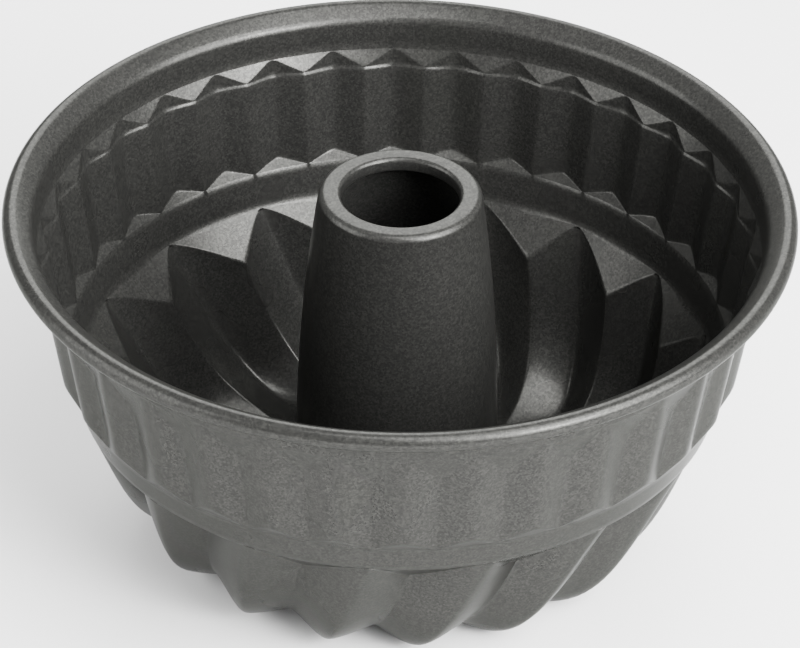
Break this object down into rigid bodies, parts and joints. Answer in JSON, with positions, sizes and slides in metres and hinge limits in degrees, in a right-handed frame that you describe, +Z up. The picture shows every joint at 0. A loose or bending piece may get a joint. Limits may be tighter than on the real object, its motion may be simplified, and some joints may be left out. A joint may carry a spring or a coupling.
{
  "type": "kugelhopf mould",
  "caption": "Round fluted ring-cake mould of coated sheet metal, with a rolled rim, a pleated wall, twisted flutes and an open centre tube",
  "frame": {"origin": "centre of the circle that the mould stands on, on the surface below it", "axes": "+Z up along the centre tube towards the open side; the pattern of flutes repeats evenly round +Z"},
  "size_m": [0.22, 0.22, 0.1094],
  "materials": {
    "coated_bowl": "non-stick coating with a satin metallic sheen",
    "coated_tube": "non-stick coating with a satin metallic sheen",
    "bare_wire": "drawn wire"
  },
  "bodies": {
    "root": {"mould_bowl": "coated_bowl", "centre_tube": "coated_tube", "rim_wire": "bare_wire"}
  },
  "joints": []
}
